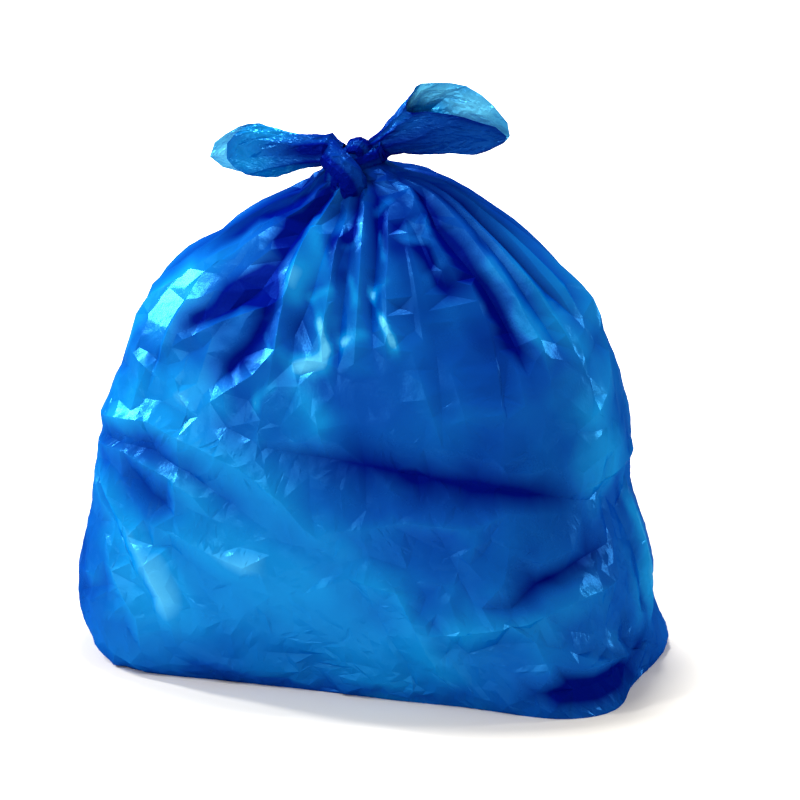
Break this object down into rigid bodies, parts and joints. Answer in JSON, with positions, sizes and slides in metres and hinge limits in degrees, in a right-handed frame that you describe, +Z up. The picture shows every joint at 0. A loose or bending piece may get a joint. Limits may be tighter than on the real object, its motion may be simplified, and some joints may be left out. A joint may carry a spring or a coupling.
{
  "type": "garbage bag",
  "caption": "Filled and tied garbage bag of thin glossy film, with a gathered neck, a knot, two open ears and a slumped flat base.",
  "frame": {"origin": "on the floor, under the middle of the bag's bounding box", "axes": "+X along the bag's width, from the lower ear's side to the raised ear's side, +Y from its front to its back, +Z up"},
  "size_m": [0.5236, 0.3316, 0.5228],
  "materials": {
    "blue_film": "glossy, slightly see-through blue polyethylene film"
  },
  "bodies": {
    "root": {"garbage_bag": "blue_film"}
  },
  "joints": []
}
